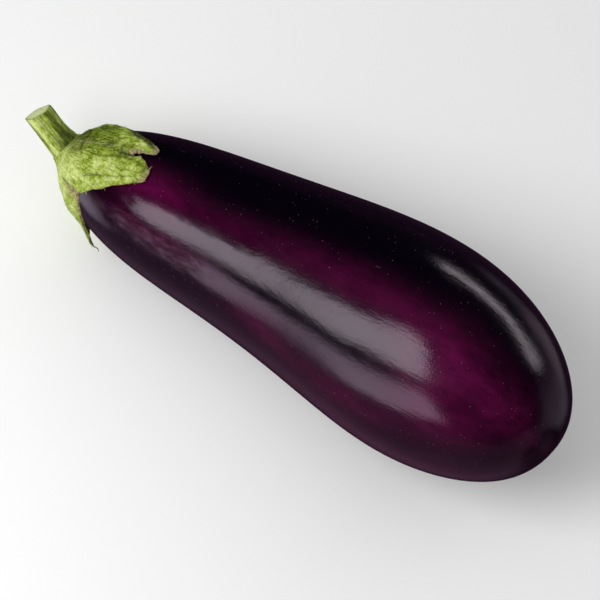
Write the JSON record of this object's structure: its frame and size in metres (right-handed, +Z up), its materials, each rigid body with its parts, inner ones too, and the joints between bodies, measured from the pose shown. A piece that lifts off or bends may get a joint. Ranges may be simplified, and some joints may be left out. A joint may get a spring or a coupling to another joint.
{
  "type": "eggplant",
  "caption": "Whole dark purple eggplant lying on its side, with its green lobed calyx and a short cut stem.",
  "frame": {"origin": "on the small flat resting spot under the fruit, straight below the fruit's centre of mass", "axes": "+Z up, away from the resting spot; +X lengthwise, from the stem towards the blossom end"},
  "size_m": [0.2342, 0.0815, 0.0815],
  "materials": {
    "skin": "waxy, glossy, near-black purple skin with magenta patches",
    "calyx": "matt, fibrous, light green leaf with tan dry edges",
    "stem": "ribbed green stalk with a pale cut end"
  },
  "bodies": {
    "root": {"fruit": "skin", "calyx": "calyx", "stem": "stem"}
  },
  "joints": []
}
